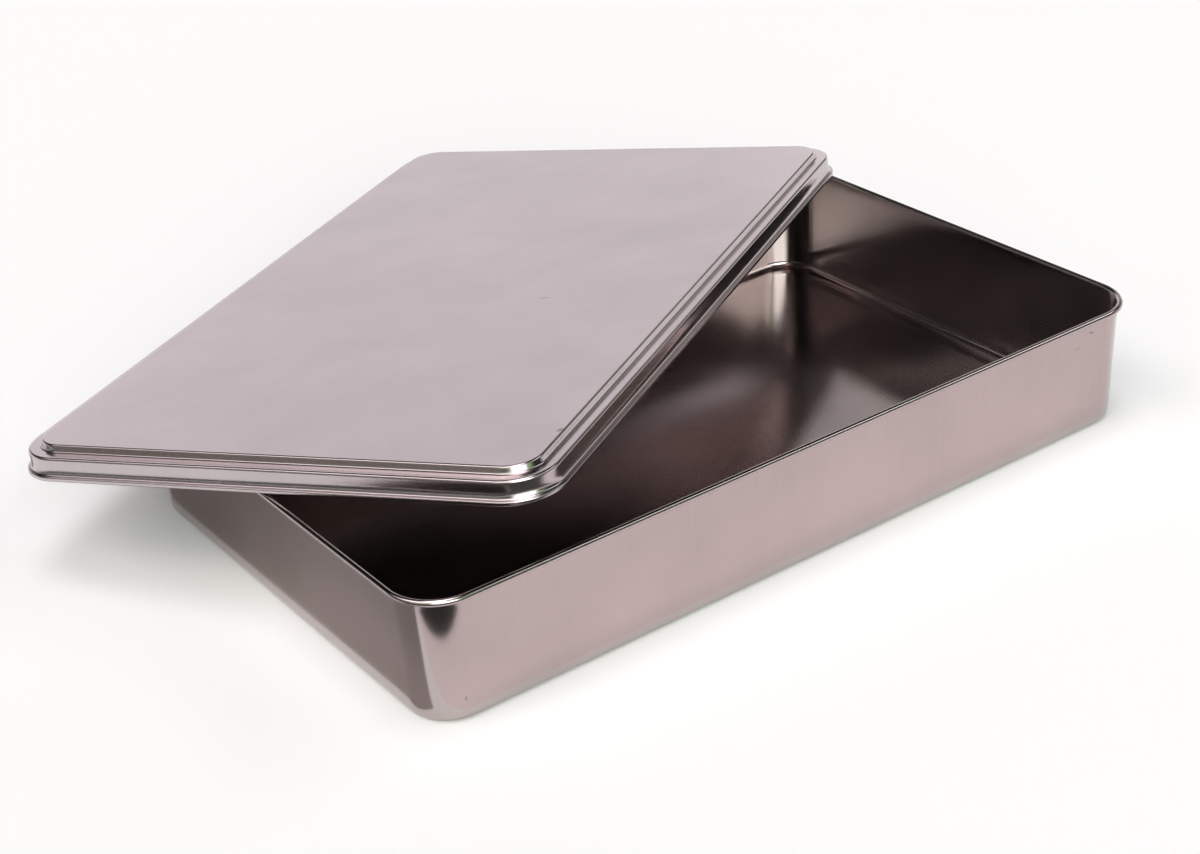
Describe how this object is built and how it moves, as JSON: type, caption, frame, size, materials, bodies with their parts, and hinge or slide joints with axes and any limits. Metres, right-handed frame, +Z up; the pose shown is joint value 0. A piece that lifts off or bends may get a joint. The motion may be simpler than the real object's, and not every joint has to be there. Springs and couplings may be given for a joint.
{
  "type": "covered instrument tray",
  "caption": "Deep rectangular steel instrument tray with rolled rim and rounded corners, its flat skirted cover lying askew on the rim.",
  "frame": {"origin": "middle of the pan's flat underside, on the surface that the tray stands on", "axes": "+Z up out of the open pan, X along the pan's long side, Y along its short side; the turned cover overhangs towards +Y and -X"},
  "size_m": [0.4956, 0.4655, 0.091],
  "materials": {
    "pan_steel": "satin drawn stainless steel with faint vertical draw lines, slightly smeared",
    "lid_steel": "satin pressed stainless steel, smooth and even, slightly warm"
  },
  "bodies": {
    "pan": {"tray_pan": "pan_steel"},
    "lid": {"lid": "lid_steel"}
  },
  "joints": [
    {"name": "lid_lift", "type": "slide", "parent": "pan", "child": "lid", "axis": [0, 0, 1], "range_m": [0, 0.15]}
  ]
}
